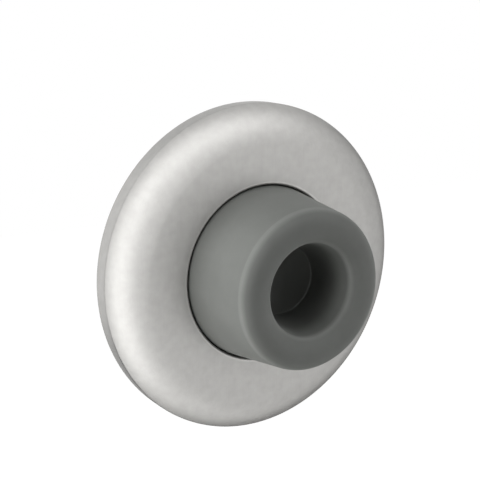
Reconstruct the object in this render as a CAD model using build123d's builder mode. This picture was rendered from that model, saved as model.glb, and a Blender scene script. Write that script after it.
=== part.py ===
"""Wall door stop: a pressed stainless rose with a recessed rubber bumper, screwed flat to a wall.

The origin is the middle of the back, on the wall plane. The wall lies towards +Y, the stop stands out
towards -Y and +Z is up. Every piece is turned about the Y axis, so every section below is drawn as
radius and height off the wall.
"""
import os

from build123d import *

# Rose: pressed sheet, its back edge rolled in and the edge of its hole turned down
rose_diameter = 62.0
rose_height = 7.1
rose_sheet = 0.8
rose_flat_diameter = 47.6
crown_drop = 3.7
shoulder_radius = 1.2
back_ring_width = 3.6
back_edge_radius = 0.4
rose_hole_diameter = 32.9
lip_depth = 1.8
lip_edge_radius = 0.6

# Mounting plate: pressed disc held by the rolled-in edge, its middle dished back to the wall
plate_thickness = 1.2
plate_rim_clearance = 0.6
plate_dish_margin = 1.5
plate_dish_slope_width = 2.0
plate_bend_radius = 1.4
screw_hole_diameter = 5.0

# Bumper: one rubber moulding, trapped by its flange behind the turned-down lip
bumper_projection = 22.7
bumper_lip_clearance = 0.3
bumper_flange_diameter = 39.0
flange_edge_radius = 0.6
nose_diameter = 28.6
nose_edge_width = 2.5
nose_edge_drop = 1.7
parting_edge_radius = 0.8
nose_land = 0.2
recess_mouth_diameter = 17.0
recess_mouth_drop = 1.3
recess_mouth_edge_radius = 0.4
recess_floor_diameter = 13.0
recess_depth = 10.5
recess_floor_radius = 1.0

# Hollow in the bumper's underside, over the head of the fixing screw
screw_head_diameter = 9.5
screw_head_height = 3.4
screw_head_clearance = 1.2
hollow_corner_radius = 0.8

# Radii and heights that follow from the sizes above
rose_radius = rose_diameter / 2
rose_flat_radius = rose_flat_diameter / 2
rose_hole_radius = rose_hole_diameter / 2
crown_width = rose_radius - rose_flat_radius
crown_radius = (crown_width**2 + crown_drop**2) / (2 * crown_drop)
shoulder_height = rose_height - crown_drop
lip_end_height = rose_height - lip_depth

flange_radius = bumper_flange_diameter / 2
nose_radius = nose_diameter / 2
neck_radius = rose_hole_radius - bumper_lip_clearance
taper = (neck_radius - nose_radius) / (bumper_projection - rose_height)
flange_neck_radius = neck_radius + taper * lip_depth
parting_radius = nose_radius + taper * nose_edge_drop
parting_height = bumper_projection - nose_edge_drop

plate_rim_radius = rose_radius - rose_sheet - plate_rim_clearance
plate_dish_radius = flange_radius + plate_dish_margin
plate_slope_end_radius = plate_dish_radius + plate_dish_slope_width
screw_hole_radius = screw_hole_diameter / 2

recess_mouth_radius = recess_mouth_diameter / 2
recess_mouth_height = bumper_projection - recess_mouth_drop
recess_floor_height = bumper_projection - recess_depth
recess_floor_edge_radius = recess_floor_diameter / 2
nose_face_radius = nose_radius - nose_edge_width
front_dish_radius = nose_face_radius - nose_land
hollow_radius = screw_head_diameter / 2 + screw_head_clearance
hollow_top_height = plate_thickness + screw_head_height + screw_head_clearance

# Section plane: x is the radius, y is the height off the wall
section = Plane(origin=(0, 0, 0), x_dir=(1, 0, 0), z_dir=(0, 0, -1))

os.makedirs("parts", exist_ok=True)

# Rose: the line is the face that shows, and the sheet lies behind it
back_corner = (rose_radius, 0)
shoulder_corner = (rose_radius, shoulder_height)
hole_corner = (rose_hole_radius, rose_height)
with BuildPart() as rose:
    with BuildSketch(section) as rose_section:
        with BuildLine() as rose_face:
            Line((rose_radius - back_ring_width, 0), back_corner)
            Line(back_corner, shoulder_corner)
            RadiusArc(shoulder_corner, (rose_flat_radius, rose_height), -crown_radius)
            Line((rose_flat_radius, rose_height), hole_corner)
            Line(hole_corner, (rose_hole_radius, lip_end_height))
            fillet(rose_face.vertices().sort_by_distance(shoulder_corner)[0], shoulder_radius)
            offset(amount=rose_sheet, side=Side.LEFT)
        make_face()
        fillet(rose_section.vertices().sort_by_distance(back_corner)[0], back_edge_radius)
        fillet(rose_section.vertices().sort_by_distance(hole_corner)[0], lip_edge_radius)
    revolve(axis=Axis.Y)
rose.part.label = "rose"
export_step(rose.part, "parts/rose.step")

# Mounting plate: the line is its back, and the plate's thickness lies in front of it
dish_corner = (plate_dish_radius, 0)
rim_corner = (plate_slope_end_radius, rose_sheet)
with BuildPart() as mounting_plate:
    with BuildSketch(section):
        with BuildLine() as plate_back:
            Line((screw_hole_radius, 0), dish_corner)
            Line(dish_corner, rim_corner)
            Line(rim_corner, (plate_rim_radius, rose_sheet))
            fillet(plate_back.vertices().sort_by_distance(dish_corner)[0], plate_bend_radius)
            fillet(plate_back.vertices().sort_by_distance(rim_corner)[0], plate_bend_radius + plate_thickness)
            offset(amount=plate_thickness, side=Side.LEFT)
        make_face()
    revolve(axis=Axis.Y)
mounting_plate.part.label = "mounting_plate"
export_step(mounting_plate.part, "parts/mounting_plate.step")

# Bumper: flange and neck in the rose, tapered body up to the parting edge of the mould, rounded nose,
# dished front and blind recess
parting_edge = (parting_radius, parting_height)
nose_face_edge = (nose_face_radius, bumper_projection)
front_dish_edge = (front_dish_radius, bumper_projection)
mouth_edge = (recess_mouth_radius, recess_mouth_height)
floor_corner = (recess_floor_edge_radius, recess_floor_height)
hollow_corner = (hollow_radius, hollow_top_height)
flange_back_corner = (flange_radius, plate_thickness)
flange_front_corner = (flange_radius, lip_end_height)
with BuildPart() as bumper:
    with BuildSketch(section) as bumper_section:
        with BuildLine():
            Polyline(
                (0, recess_floor_height),
                (0, hollow_top_height),
                hollow_corner,
                (hollow_radius, plate_thickness),
                flange_back_corner,
                flange_front_corner,
                (flange_neck_radius, lip_end_height),
                parting_edge,
            )
            TangentArc(nose_face_edge, parting_edge, tangent=(1, 0))
            Line(nose_face_edge, front_dish_edge)
            TangentArc(front_dish_edge, mouth_edge, tangent=(-1, 0))
            Polyline(mouth_edge, floor_corner, (0, recess_floor_height))
        make_face()
        fillet(bumper_section.vertices().sort_by_distance(parting_edge)[0], parting_edge_radius)
        fillet(bumper_section.vertices().sort_by_distance(mouth_edge)[0], recess_mouth_edge_radius)
        fillet(bumper_section.vertices().sort_by_distance(floor_corner)[0], recess_floor_radius)
        fillet(bumper_section.vertices().sort_by_distance(hollow_corner)[0], hollow_corner_radius)
        fillet(bumper_section.vertices().sort_by_distance(flange_back_corner)[0], flange_edge_radius)
        fillet(bumper_section.vertices().sort_by_distance(flange_front_corner)[0], flange_edge_radius)
    revolve(axis=Axis.Y)
bumper.part.label = "bumper"
export_step(bumper.part, "parts/bumper.step")
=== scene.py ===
import math

import bmesh
import bpy
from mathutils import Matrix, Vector


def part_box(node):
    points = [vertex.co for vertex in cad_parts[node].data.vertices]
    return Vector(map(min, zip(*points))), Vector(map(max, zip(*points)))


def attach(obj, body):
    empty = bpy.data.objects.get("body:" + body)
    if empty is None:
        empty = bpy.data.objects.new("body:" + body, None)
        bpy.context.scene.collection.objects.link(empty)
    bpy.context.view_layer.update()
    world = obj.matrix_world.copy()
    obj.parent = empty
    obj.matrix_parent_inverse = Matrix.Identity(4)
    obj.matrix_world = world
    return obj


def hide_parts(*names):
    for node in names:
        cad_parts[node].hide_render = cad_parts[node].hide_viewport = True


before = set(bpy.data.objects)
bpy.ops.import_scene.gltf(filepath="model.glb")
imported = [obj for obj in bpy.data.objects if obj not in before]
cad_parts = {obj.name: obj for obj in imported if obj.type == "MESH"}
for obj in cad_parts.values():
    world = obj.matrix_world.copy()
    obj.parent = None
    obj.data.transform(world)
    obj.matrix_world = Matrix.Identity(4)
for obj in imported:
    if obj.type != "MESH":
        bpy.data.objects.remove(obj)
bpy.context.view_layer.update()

# Mounting plate: a disc pressed from zinc-plated steel sheet, hidden behind the rose. Its middle is
# dished back to lie on the wall and is drilled for one screw, and the rolled-in back edge of the rose
# is closed over its rim.
mm = 0.001
plate_low, plate_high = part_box("mounting_plate")
plate_rim_radius = plate_high.x
plate_thickness = 1.2 * mm
plate_rim_height = -plate_low.y
plate_dish_radius = 21.0 * mm
plate_slope_end_radius = 23.0 * mm
plate_bend_radius = 1.4 * mm
plate_edge_radius = 0.15 * mm
screw_hole_radius = 2.5 * mm
turning_steps = 256
merge_distance = 0.001 * mm
edge_tolerance = 0.01 * mm
sharp_angle = math.radians(35)


def draw_line(mesh, corners, start=None):
    """Joins corners, each a radius and a height off the wall, into a line of edges."""
    verts = [start] if start else []
    for radius, height in corners:
        verts.append(mesh.verts.new((radius, -height, 0)))
    for first, second in zip(verts, verts[1:]):
        mesh.edges.new((first, second))
    return verts


def round_corner(mesh, corner, radius, segments):
    """Rounds one corner of the line to a radius."""
    ways = [edge.other_vert(corner).co - corner.co for edge in corner.link_edges]
    tangent_length = radius / math.tan(ways[0].angle(ways[1]) / 2)
    bmesh.ops.bevel(
        mesh,
        geom=[corner],
        offset=tangent_length,
        offset_type="OFFSET",
        affect="VERTICES",
        segments=segments,
        profile=0.5,
        material=-1,
    )


def turn_about_axis(mesh):
    """Spins the drawn line once round the axis of the stop, and closes the seam and the poles."""
    bmesh.ops.spin(
        mesh,
        geom=mesh.verts[:] + mesh.edges[:],
        cent=(0, 0, 0),
        axis=(0, 1, 0),
        angle=math.tau,
        steps=turning_steps,
        use_merge=True,
    )
    bmesh.ops.remove_doubles(mesh, verts=mesh.verts, dist=merge_distance)
    bmesh.ops.recalc_face_normals(mesh, faces=mesh.faces)


def give_thickness(mesh, thickness):
    """Makes a turned skin, whose front looks away from the wall, into a sheet of a thickness."""
    if sum(face.normal.y * face.calc_area() for face in mesh.faces) > 0:
        bmesh.ops.reverse_faces(mesh, faces=mesh.faces)
    bmesh.ops.solidify(mesh, geom=mesh.faces[:], thickness=thickness)
    bmesh.ops.recalc_face_normals(mesh, faces=mesh.faces)


def round_edge(mesh, radius, height, edge_radius, segments):
    """Rounds the sharp edge that runs round a turned piece at a radius and a height off the wall."""
    edge_loop = []
    for edge in mesh.edges:
        offsets = [abs(math.hypot(v.co.x, v.co.z) - radius) + abs(v.co.y + height) for v in edge.verts]
        if max(offsets) < edge_tolerance:
            edge_loop.append(edge)
    bmesh.ops.bevel(
        mesh,
        geom=edge_loop,
        offset=edge_radius,
        offset_type="OFFSET",
        affect="EDGES",
        segments=segments,
        profile=0.5,
        material=-1,
    )


def make_piece(name, mesh, material):
    """Turns a finished bmesh into an object that shades smoothly across its round stretches."""
    data = bpy.data.meshes.new(name)
    mesh.to_mesh(data)
    mesh.free()
    data.shade_smooth()
    data.set_sharp_from_angle(angle=sharp_angle)
    data.materials.append(material)
    piece = bpy.data.objects.new(name, data)
    bpy.context.scene.collection.objects.link(piece)
    return piece


def linear(hex_colour):
    """The linear RGBA of an sRGB hex colour."""
    values = [int(hex_colour[i:i + 2], 16) / 255 for i in (1, 3, 5)]
    return [v / 12.92 if v <= 0.04045 else ((v + 0.055) / 1.055) ** 2.4 for v in values] + [1.0]


def add_node(tree, kind, settings, links):
    """Adds a node, sets its inputs or properties, and links its inputs, each by name or number."""
    node = tree.nodes.new(kind)
    for name, value in settings.items():
        if isinstance(name, int) or name in node.inputs:
            node.inputs[name].default_value = value
        else:
            setattr(node, name, value)
    for name, source in links.items():
        tree.links.new(source, node.inputs[name])
    return node


# Bright zinc plating on steel: a cool, slightly cloudy metal whose passivation tints it unevenly. Its grain
# is drawn coarser than it is, so that it shows.
zinc_cloud_size = 4.0 * mm
zinc_grain_size = 0.5 * mm
zinc_grain_depth = 0.02 * mm
zinc = bpy.data.materials.new("bright_zinc_plated_steel")
zinc.use_nodes = True
zinc_tree = zinc.node_tree
zinc_shader = zinc_tree.nodes["Principled BSDF"]
zinc_place = add_node(zinc_tree, "ShaderNodeTexCoord", {}, {})
zinc_clouds = add_node(
    zinc_tree,
    "ShaderNodeTexNoise",
    {"Scale": 1 / zinc_cloud_size, "Detail": 3.0},
    {"Vector": zinc_place.outputs["Object"]},
)
zinc_tint = add_node(zinc_tree, "ShaderNodeValToRGB", {}, {"Fac": zinc_clouds.outputs["Fac"]})
zinc_tint.color_ramp.elements[0].position = 0.35
zinc_tint.color_ramp.elements[0].color = linear("#a3a7aa")
zinc_tint.color_ramp.elements[1].position = 0.65
zinc_tint.color_ramp.elements[1].color = linear("#adafaf")
zinc_grain = add_node(
    zinc_tree,
    "ShaderNodeTexNoise",
    {"Scale": 1 / zinc_grain_size, "Detail": 2.0},
    {"Vector": zinc_place.outputs["Object"]},
)
zinc_roughness = add_node(
    zinc_tree,
    "ShaderNodeMapRange",
    {"From Min": 0.3, "From Max": 0.7, "To Min": 0.28, "To Max": 0.4},
    {"Value": zinc_grain.outputs["Fac"]},
)
zinc_bump = add_node(
    zinc_tree,
    "ShaderNodeBump",
    {"Strength": 0.15, "Distance": zinc_grain_depth},
    {"Height": zinc_grain.outputs["Fac"]},
)
zinc_shader.inputs["Metallic"].default_value = 1.0
zinc_tree.links.new(zinc_tint.outputs["Color"], zinc_shader.inputs["Base Color"])
zinc_tree.links.new(zinc_roughness.outputs["Result"], zinc_shader.inputs["Roughness"])
zinc_tree.links.new(zinc_bump.outputs["Normal"], zinc_shader.inputs["Normal"])

plate_mesh = bmesh.new()
plate_line = draw_line(
    plate_mesh,
    [
        (screw_hole_radius, plate_thickness),
        (plate_dish_radius, plate_thickness),
        (plate_slope_end_radius, plate_rim_height),
        (plate_rim_radius, plate_rim_height),
    ],
)
for bend in plate_line[1:3]:
    round_corner(plate_mesh, bend, plate_bend_radius, segments=6)
turn_about_axis(plate_mesh)
give_thickness(plate_mesh, plate_thickness)
for height in (0, plate_thickness):
    round_edge(plate_mesh, screw_hole_radius, height, plate_edge_radius, segments=3)
for height in (plate_rim_height - plate_thickness, plate_rim_height):
    round_edge(plate_mesh, plate_rim_radius, height, plate_edge_radius, segments=3)
plate = make_piece("pressed_mounting_plate", plate_mesh, zinc)
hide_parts("mounting_plate")
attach(plate, "root")

# Bumper: one moulding of grey rubber. Its flange is trapped between the plate and the rose, its body
# tapers to the parting edge of the mould and a rounded nose, and the nose is dished and has a deep blind
# recess that clears the button of a door knob. Its underside is hollow over the screw head.
rose_low, rose_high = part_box("rose")
rose_height = -rose_low.y
lip_depth = 1.8 * mm
bumper_low, bumper_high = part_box("bumper")
bumper_projection = -bumper_low.y
bumper_back = -bumper_high.y
flange_radius = bumper_high.x
flange_front = rose_height - lip_depth
flange_edge_radius = 0.6 * mm
neck_radius = 16.15 * mm
nose_radius = 14.3 * mm
body_taper = (neck_radius - nose_radius) / (bumper_projection - rose_height)
flange_neck_radius = neck_radius + body_taper * lip_depth
nose_edge_width = 2.5 * mm
nose_edge_drop = 1.7 * mm
nose_edge_reach = nose_edge_width + body_taper * nose_edge_drop
parting_edge_radius = 0.8 * mm
nose_land = 0.2 * mm
nose_face_radius = nose_radius - nose_edge_width
front_dish_radius = nose_face_radius - nose_land
recess_mouth_radius = 8.5 * mm
recess_mouth_reach = recess_mouth_radius - front_dish_radius
recess_mouth_drop = 1.3 * mm
recess_mouth_edge_radius = 0.4 * mm
recess_floor_radius = 6.5 * mm
recess_depth = 10.5 * mm
recess_floor_height = bumper_projection - recess_depth
recess_corner_radius = 0.3 * mm
hollow_radius = 5.95 * mm
hollow_top = 5.8 * mm
hollow_corner_radius = 0.8 * mm


def draw_drop(mesh, start, reach, drop, steps):
    """Carries the line on along an arc that leaves a vertex level and falls as it reaches out, or in."""
    arc_radius = (reach**2 + drop**2) / (2 * drop)
    arc = bmesh.ops.spin(
        mesh,
        geom=[start],
        cent=start.co + Vector((0, arc_radius, 0)),
        axis=(0, 0, 1),
        angle=math.asin(reach / arc_radius),
        steps=steps,
    )
    return arc["geom_last"][0]


def add_axis_distance(tree, place):
    """The distance of each point of a surface from the axis of the stop."""
    across = add_node(
        tree,
        "ShaderNodeVectorMath",
        {"operation": "MULTIPLY", 1: (1, 0, 1)},
        {0: place.outputs["Object"]},
    )
    distance = add_node(
        tree,
        "ShaderNodeVectorMath",
        {"operation": "LENGTH"},
        {0: across.outputs["Vector"]},
    )
    return distance.outputs["Value"]


# Grey moulded rubber: matt, with a faint cloudy bloom and the even tooth of a blasted mould, drawn coarser
# than it is so that it shows. Shade is painted into its colour, darker close to the rose and down in the
# recess, and a pale band painted along its parting edge is a painted highlight.
rubber_bloom_size = 9.0 * mm
rubber_tooth_size = 0.25 * mm
rubber_tooth_depth = 0.02 * mm
# Painted shade: how far from the rose and how dark the rubber is painted, close to the rose and in the
# recess.
painted_shade_reach = 5.0 * mm
painted_shade_by_rose = 0.8
recess_shade = 0.78
recess_fade_radius = 7.6 * mm
recess_rim_radius = 8.1 * mm
# Painted highlight: a pale band along the parting edge of the nose.
parting_highlight_rise = 0.25 * mm
parting_highlight_height = bumper_projection - nose_edge_drop + parting_highlight_rise
parting_highlight_width = 1.4 * mm
parting_highlight_gain = 1.42
rubber = bpy.data.materials.new("matt_moulded_rubber")
rubber.use_nodes = True
rubber_tree = rubber.node_tree
rubber_shader = rubber_tree.nodes["Principled BSDF"]
rubber_place = add_node(rubber_tree, "ShaderNodeTexCoord", {}, {})
rubber_bloom = add_node(
    rubber_tree,
    "ShaderNodeTexNoise",
    {"Scale": 1 / rubber_bloom_size, "Detail": 4.0, "Roughness": 0.6},
    {"Vector": rubber_place.outputs["Object"]},
)
rubber_tint = add_node(rubber_tree, "ShaderNodeValToRGB", {}, {"Fac": rubber_bloom.outputs["Fac"]})
rubber_tint.color_ramp.elements[0].position = 0.3
rubber_tint.color_ramp.elements[0].color = linear("#717370")
rubber_tint.color_ramp.elements[1].position = 0.7
rubber_tint.color_ramp.elements[1].color = linear("#797b78")
rubber_axes = add_node(
    rubber_tree,
    "ShaderNodeSeparateXYZ",
    {},
    {"Vector": rubber_place.outputs["Object"]},
)
# Painted shade: the rubber's colour darkens towards the rose.
rubber_painted_shade_by_rose = add_node(
    rubber_tree,
    "ShaderNodeMapRange",
    {
        "From Min": -rose_height - painted_shade_reach,
        "From Max": -rose_height,
        "To Min": 1.0,
        "To Max": painted_shade_by_rose,
    },
    {"Value": rubber_axes.outputs["Y"]},
)
# Painted shade: the rubber's colour darkens down in the recess.
rubber_painted_shade_in_recess = add_node(
    rubber_tree,
    "ShaderNodeMapRange",
    {
        "From Min": recess_fade_radius,
        "From Max": recess_rim_radius,
        "To Min": recess_shade,
        "To Max": 1.0,
    },
    {"Value": add_axis_distance(rubber_tree, rubber_place)},
)
rubber_painted_shade = add_node(
    rubber_tree,
    "ShaderNodeMath",
    {"operation": "MINIMUM"},
    {0: rubber_painted_shade_by_rose.outputs["Result"], 1: rubber_painted_shade_in_recess.outputs["Result"]},
)
# Painted highlight: the rubber's colour is lighter in a band along the parting edge.
rubber_below_highlight = add_node(
    rubber_tree,
    "ShaderNodeMath",
    {"operation": "ADD", 1: parting_highlight_height},
    {0: rubber_axes.outputs["Y"]},
)
rubber_off_highlight = add_node(
    rubber_tree,
    "ShaderNodeMath",
    {"operation": "ABSOLUTE"},
    {0: rubber_below_highlight.outputs[0]},
)
rubber_parting_highlight = add_node(
    rubber_tree,
    "ShaderNodeMapRange",
    {"From Min": 0.0, "From Max": parting_highlight_width / 2, "To Min": parting_highlight_gain, "To Max": 1.0},
    {"Value": rubber_off_highlight.outputs[0]},
)
# The painted shade and the painted highlight together scale the rubber's colour.
rubber_painted_light = add_node(
    rubber_tree,
    "ShaderNodeMath",
    {"operation": "MULTIPLY"},
    {0: rubber_painted_shade.outputs[0], 1: rubber_parting_highlight.outputs["Result"]},
)
rubber_shade = add_node(
    rubber_tree,
    "ShaderNodeHueSaturation",
    {},
    {"Color": rubber_tint.outputs["Color"], "Value": rubber_painted_light.outputs[0]},
)
rubber_tooth = add_node(
    rubber_tree,
    "ShaderNodeTexNoise",
    {"Scale": 1 / rubber_tooth_size, "Detail": 2.0},
    {"Vector": rubber_place.outputs["Object"]},
)
rubber_roughness = add_node(
    rubber_tree,
    "ShaderNodeMapRange",
    {"From Min": 0.3, "From Max": 0.7, "To Min": 0.42, "To Max": 0.52},
    {"Value": rubber_bloom.outputs["Fac"]},
)
rubber_bump = add_node(
    rubber_tree,
    "ShaderNodeBump",
    {"Strength": 0.2, "Distance": rubber_tooth_depth},
    {"Height": rubber_tooth.outputs["Fac"]},
)
rubber_shader.inputs["IOR"].default_value = 1.5
rubber_shader.inputs["Specular IOR Level"].default_value = 0.1
rubber_tree.links.new(rubber_shade.outputs["Color"], rubber_shader.inputs["Base Color"])
rubber_tree.links.new(rubber_roughness.outputs["Result"], rubber_shader.inputs["Roughness"])
rubber_tree.links.new(rubber_bump.outputs["Normal"], rubber_shader.inputs["Normal"])

bumper_mesh = bmesh.new()
face_line = draw_line(
    bumper_mesh,
    [(front_dish_radius, bumper_projection), (nose_face_radius, bumper_projection)],
)
recess_mouth = draw_drop(bumper_mesh, face_line[0], recess_mouth_reach, recess_mouth_drop, steps=24)
parting_edge = draw_drop(bumper_mesh, face_line[1], nose_edge_reach, nose_edge_drop, steps=20)
body_line = draw_line(
    bumper_mesh,
    [
        (flange_neck_radius, flange_front),
        (flange_radius, flange_front),
        (flange_radius, bumper_back),
        (hollow_radius, bumper_back),
        (hollow_radius, hollow_top),
        (0, hollow_top),
    ],
    parting_edge,
)
recess_line = draw_line(
    bumper_mesh,
    [(recess_floor_radius, recess_floor_height), (0, recess_floor_height)],
    recess_mouth,
)
round_corner(bumper_mesh, body_line[0], parting_edge_radius, segments=6)
round_corner(bumper_mesh, body_line[2], flange_edge_radius, segments=6)
round_corner(bumper_mesh, body_line[3], flange_edge_radius, segments=6)
round_corner(bumper_mesh, body_line[5], hollow_corner_radius, segments=6)
round_corner(bumper_mesh, recess_line[0], recess_mouth_edge_radius, segments=8)
round_corner(bumper_mesh, recess_line[1], recess_corner_radius, segments=6)
turn_about_axis(bumper_mesh)
bumper = make_piece("rubber_bumper", bumper_mesh, rubber)
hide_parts("bumper")
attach(bumper, "root")

# Rose: one sheet of satin stainless steel, pressed to a flat top with a crowned shoulder and a straight
# skirt. The edge of its hole is turned down round the bumper, and its back edge is rolled in flat on the
# wall over the plate's rim.
rose_radius = rose_high.x
rose_sheet = 0.8 * mm
rose_flat_radius = 23.8 * mm
crown_width = rose_radius - rose_flat_radius
crown_drop = 3.7 * mm
shoulder_radius = 1.2 * mm
back_ring_radius = 27.4 * mm
back_edge_radius = 0.4 * mm
lip_clearance = 0.3 * mm
rose_hole_radius = neck_radius + lip_clearance
lip_end_height = rose_height - lip_depth
lip_edge_radius = 0.4 * mm
cut_edge_radius = 0.12 * mm

# Satin stainless steel: a neutral, faintly warm grey, brushed so finely that its highlights are broad and
# soft. A trace of hairline, drawn coarser than it is so that it shows, runs up and down, and the pressing
# leaves a faint mottle. A lighter band round the turned-down edge is a painted highlight.
satin_hair_width = 0.12 * mm
satin_hair_length = 9.0 * mm
satin_hair_depth = 0.02 * mm
satin_mottle_size = 1.5 * mm
satin_mottle_depth = 0.02 * mm
# Painted highlight: a lighter band round the turned-down edge of the hole.
lip_highlight_radius = rose_hole_radius + lip_edge_radius
lip_highlight_fade = 0.3 * mm
lip_highlight_gain = 1.25
satin = bpy.data.materials.new("satin_stainless_steel")
satin.use_nodes = True
satin_tree = satin.node_tree
satin_shader = satin_tree.nodes["Principled BSDF"]
satin_place = add_node(satin_tree, "ShaderNodeTexCoord", {}, {})
satin_stretch = add_node(
    satin_tree,
    "ShaderNodeMapping",
    {"Scale": (1 / satin_hair_width, 1 / satin_hair_width, 1 / satin_hair_length)},
    {"Vector": satin_place.outputs["Object"]},
)
satin_hairs = add_node(
    satin_tree,
    "ShaderNodeTexNoise",
    {"Scale": 1.0, "Detail": 2.0},
    {"Vector": satin_stretch.outputs["Vector"]},
)
satin_mottle = add_node(
    satin_tree,
    "ShaderNodeTexNoise",
    {"Scale": 1 / satin_mottle_size, "Detail": 3.0},
    {"Vector": satin_place.outputs["Object"]},
)
satin_tint = add_node(satin_tree, "ShaderNodeValToRGB", {}, {"Fac": satin_mottle.outputs["Fac"]})
satin_tint.color_ramp.elements[0].position = 0.3
satin_tint.color_ramp.elements[0].color = linear("#9e9d9b")
satin_tint.color_ramp.elements[1].position = 0.7
satin_tint.color_ramp.elements[1].color = linear("#a4a3a1")
# Painted highlight: the steel's colour is lighter on the turned-down edge of the hole.
satin_lip_highlight = add_node(
    satin_tree,
    "ShaderNodeMapRange",
    {
        "From Min": lip_highlight_radius,
        "From Max": lip_highlight_radius + lip_highlight_fade,
        "To Min": lip_highlight_gain,
        "To Max": 1.0,
    },
    {"Value": add_axis_distance(satin_tree, satin_place)},
)
satin_shade = add_node(
    satin_tree,
    "ShaderNodeHueSaturation",
    {},
    {"Color": satin_tint.outputs["Color"], "Value": satin_lip_highlight.outputs["Result"]},
)
satin_roughness = add_node(
    satin_tree,
    "ShaderNodeMapRange",
    {"From Min": 0.3, "From Max": 0.7, "To Min": 0.47, "To Max": 0.53},
    {"Value": satin_hairs.outputs["Fac"]},
)
satin_waves = add_node(
    satin_tree,
    "ShaderNodeBump",
    {"Strength": 0.6, "Distance": satin_mottle_depth},
    {"Height": satin_mottle.outputs["Fac"]},
)
satin_bump = add_node(
    satin_tree,
    "ShaderNodeBump",
    {"Strength": 0.06, "Distance": satin_hair_depth},
    {"Height": satin_hairs.outputs["Fac"], "Normal": satin_waves.outputs["Normal"]},
)
satin_shader.inputs["Metallic"].default_value = 1.0
satin_tree.links.new(satin_shade.outputs["Color"], satin_shader.inputs["Base Color"])
satin_tree.links.new(satin_roughness.outputs["Result"], satin_shader.inputs["Roughness"])
satin_tree.links.new(satin_bump.outputs["Normal"], satin_shader.inputs["Normal"])

# Two rings of edges across the flat keep the shading of its rounded edges from spreading over it.
flat_width = rose_flat_radius - rose_hole_radius
inner_ring_radius = rose_hole_radius + 0.3 * flat_width
outer_ring_radius = rose_hole_radius + 0.7 * flat_width
rose_mesh = bmesh.new()
flat_line = draw_line(
    rose_mesh,
    [
        (rose_hole_radius, lip_end_height),
        (rose_hole_radius, rose_height),
        (inner_ring_radius, rose_height),
        (outer_ring_radius, rose_height),
        (rose_flat_radius, rose_height),
    ],
)
shoulder = draw_drop(rose_mesh, flat_line[-1], crown_width, crown_drop, steps=40)
skirt_line = draw_line(rose_mesh, [(rose_radius, 0), (back_ring_radius, 0)], shoulder)
round_corner(rose_mesh, skirt_line[0], shoulder_radius, segments=12)
turn_about_axis(rose_mesh)
give_thickness(rose_mesh, rose_sheet)
round_edge(rose_mesh, rose_radius, 0, back_edge_radius, segments=6)
round_edge(rose_mesh, rose_hole_radius, rose_height, lip_edge_radius, segments=12)
for height in (0, rose_sheet):
    round_edge(rose_mesh, back_ring_radius, height, cut_edge_radius, segments=3)
for radius in (rose_hole_radius, rose_hole_radius + rose_sheet):
    round_edge(rose_mesh, radius, lip_end_height, cut_edge_radius, segments=3)
rose = make_piece("satin_rose", rose_mesh, satin)
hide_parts("rose")
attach(rose, "root")

# Studio: a pale floor well below the stop, which a wall holds in use, and a white backdrop all round. Some
# softboxes light only the matt rubber. Others, and two black cards, are seen only in reflections, and give
# the satin steel its light and dark sheen.
floor_height = -0.7
floor_half_size = 3.0
floor_whiteness = 0.92
floor_mesh = bmesh.new()
bmesh.ops.create_grid(floor_mesh, x_segments=1, y_segments=1, size=floor_half_size)
bmesh.ops.translate(floor_mesh, verts=floor_mesh.verts, vec=(0, 0, floor_height))


def add_seen_rays(tree):
    """One where a ray comes from the camera, a mirroring surface or through glass, and else nothing."""
    ray = add_node(tree, "ShaderNodeLightPath", {}, {})
    seen = add_node(
        tree,
        "ShaderNodeMath",
        {"operation": "MAXIMUM"},
        {0: ray.outputs["Is Camera Ray"], 1: ray.outputs["Is Transmission Ray"]},
    )
    mirrored = add_node(
        tree,
        "ShaderNodeMath",
        {"operation": "MAXIMUM"},
        {0: seen.outputs[0], 1: ray.outputs["Is Glossy Ray"]},
    )
    return mirrored.outputs[0]


# Pale matt paper: it takes the lamps' light and the stop's shadow, and looks white to the camera and in
# the steel's reflections.
paper = bpy.data.materials.new("pale_backdrop_paper")
paper.use_nodes = True
paper_tree = paper.node_tree
paper_tree.nodes.clear()
paper_glow = add_node(
    paper_tree,
    "ShaderNodeMath",
    {"operation": "MULTIPLY", 1: floor_whiteness},
    {0: add_seen_rays(paper_tree)},
)
paper_white = add_node(paper_tree, "ShaderNodeEmission", {}, {"Strength": paper_glow.outputs[0]})
paper_diffuse = add_node(paper_tree, "ShaderNodeBsdfDiffuse", {"Color": linear("#dcdcda")}, {})
paper_sum = add_node(
    paper_tree,
    "ShaderNodeAddShader",
    {},
    {0: paper_diffuse.outputs[0], 1: paper_white.outputs[0]},
)
add_node(paper_tree, "ShaderNodeOutputMaterial", {}, {"Surface": paper_sum.outputs[0]})
floor = make_piece("backdrop_floor", floor_mesh, paper)

# White backdrop: the light that it gives grows from nothing in front of the stop, where the direction's Y
# is -1, to an even fill beside and behind it.
white = (1, 1, 1, 1)
front_fill = 0.0
back_fill = 0.2
fill_start = -0.6
fill_end = -0.1
world = bpy.data.worlds.new("white_backdrop")
bpy.context.scene.world = world
world.use_nodes = True
world_tree = world.node_tree
world_tree.nodes.clear()
world_way = add_node(world_tree, "ShaderNodeTexCoord", {}, {})
world_axes = add_node(world_tree, "ShaderNodeSeparateXYZ", {}, {"Vector": world_way.outputs["Generated"]})
world_level = add_node(
    world_tree,
    "ShaderNodeMapRange",
    {"From Min": fill_start, "From Max": fill_end, "To Min": front_fill, "To Max": back_fill},
    {"Value": world_axes.outputs["Y"]},
)
world_fill = add_node(
    world_tree,
    "ShaderNodeBackground",
    {"Color": white},
    {"Strength": world_level.outputs["Result"]},
)
world_white = add_node(world_tree, "ShaderNodeBackground", {"Color": white, "Strength": 1.0}, {})
world_mix = add_node(
    world_tree,
    "ShaderNodeMixShader",
    {},
    {0: add_seen_rays(world_tree), 1: world_fill.outputs[0], 2: world_white.outputs[0]},
)
add_node(world_tree, "ShaderNodeOutputWorld", {}, {"Surface": world_mix.outputs[0]})

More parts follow.
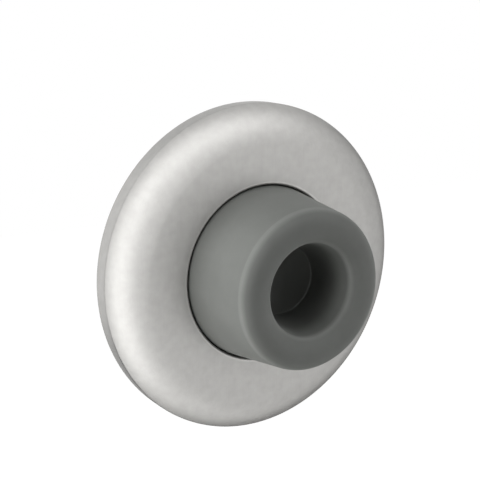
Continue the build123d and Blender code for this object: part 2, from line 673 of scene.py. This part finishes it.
# Softboxes: each has a name, its azimuth and elevation in degrees, its width and height in metres, and its
# watts.
softbox_distance = 0.6
fill_lamps = (
    ("left_softbox", -100, 4, 0.85, 1.1, 7.7),
    ("right_softbox", 60, 0, 0.45, 0.9, 2.9),
    ("top_softbox", -60, 70, 0.5, 0.5, 1.2),
)
sheen_lamps = (
    ("strip_sheen", -50, -10, 0.5, 1.2, 4.75),
    ("overhead_sheen", 0, 45, 0.9, 0.4, 2.6),
    ("front_sheen", 12, 0, 0.5, 0.4, 0.43),
    ("under_sheen", -20, -55, 0.7, 0.4, 0.24),
    ("back_sheen", -145, 10, 0.35, 1.0, 0.91),
)


def towards(azimuth, elevation):
    """The direction at degrees to the right of the stop's front, and degrees above the horizon."""
    across = math.cos(math.radians(elevation))
    return Vector(
        (
            math.sin(math.radians(azimuth)) * across,
            -math.cos(math.radians(azimuth)) * across,
            math.sin(math.radians(elevation)),
        )
    )


def add_softbox(name, azimuth, elevation, width, height, watts):
    """Hangs a soft rectangular lamp that looks at the stop."""
    lamp = bpy.data.lights.new(name, "AREA")
    lamp.shape = "RECTANGLE"
    lamp.size = width
    lamp.size_y = height
    lamp.energy = watts
    softbox = bpy.data.objects.new(name, lamp)
    softbox.location = towards(azimuth, elevation) * softbox_distance
    softbox.rotation_euler = towards(azimuth, elevation).to_track_quat("Z", "Y").to_euler()
    bpy.context.scene.collection.objects.link(softbox)
    return softbox


for fill_lamp in fill_lamps:
    add_softbox(*fill_lamp).visible_glossy = False
for sheen_lamp in sheen_lamps:
    add_softbox(*sheen_lamp).visible_diffuse = False

# Black card: matt, and seen only in the steel, whose right and lower rim it darkens. Each has a name, its
# azimuth and elevation in degrees, and its width and height in metres.
card_distance = 0.55
cards = (
    ("right_card", 112, -5, 0.2, 0.7),
    ("low_card", 172, -60, 1.3, 0.45),
)
black_paper = bpy.data.materials.new("black_card")
black_paper.use_nodes = True
black_paper_shader = black_paper.node_tree.nodes["Principled BSDF"]
black_paper_shader.inputs["Base Color"].default_value = linear("#0c0c0c")
black_paper_shader.inputs["Roughness"].default_value = 0.9
black_paper_shader.inputs["Specular IOR Level"].default_value = 0.1
for card_name, azimuth, elevation, width, height in cards:
    way = towards(azimuth, elevation)
    card_mesh = bmesh.new()
    bmesh.ops.create_grid(card_mesh, x_segments=1, y_segments=1, size=1)
    bmesh.ops.scale(card_mesh, verts=card_mesh.verts, vec=(width / 2, height / 2, 1))
    bmesh.ops.rotate(card_mesh, verts=card_mesh.verts, matrix=way.to_track_quat("Z", "Y").to_matrix())
    bmesh.ops.translate(card_mesh, verts=card_mesh.verts, vec=way * card_distance)
    card = make_piece(card_name, card_mesh, black_paper)
    card.visible_camera = False
    card.visible_diffuse = False
    card.visible_shadow = False

# Camera: stands to the left of the stop and a little above it, as a fit to its outline in the
# photograph gave it.
camera_azimuth = -32.18
camera_elevation = 14.31
camera_distance = 205.0 * mm
camera_lens = 80.83
aim_right = -1.07 * mm
aim_up = 4.69 * mm
camera_data = bpy.data.cameras.new("camera")
camera_data.lens = camera_lens
camera_data.sensor_width = 36.0
camera_data.clip_start = 5 * mm
camera = bpy.data.objects.new("camera", camera_data)
camera_back = towards(camera_azimuth, camera_elevation)
camera_right = Vector((0, 0, 1)).cross(camera_back).normalized()
camera_up = camera_back.cross(camera_right)
aim = camera_right * aim_right + camera_up * aim_up
camera.location = camera_back * camera_distance
camera.rotation_euler = (aim - camera.location).to_track_quat("-Z", "Y").to_euler()
bpy.context.scene.collection.objects.link(camera)
bpy.context.scene.camera = camera
bpy.context.scene.view_settings.view_transform = "Standard"
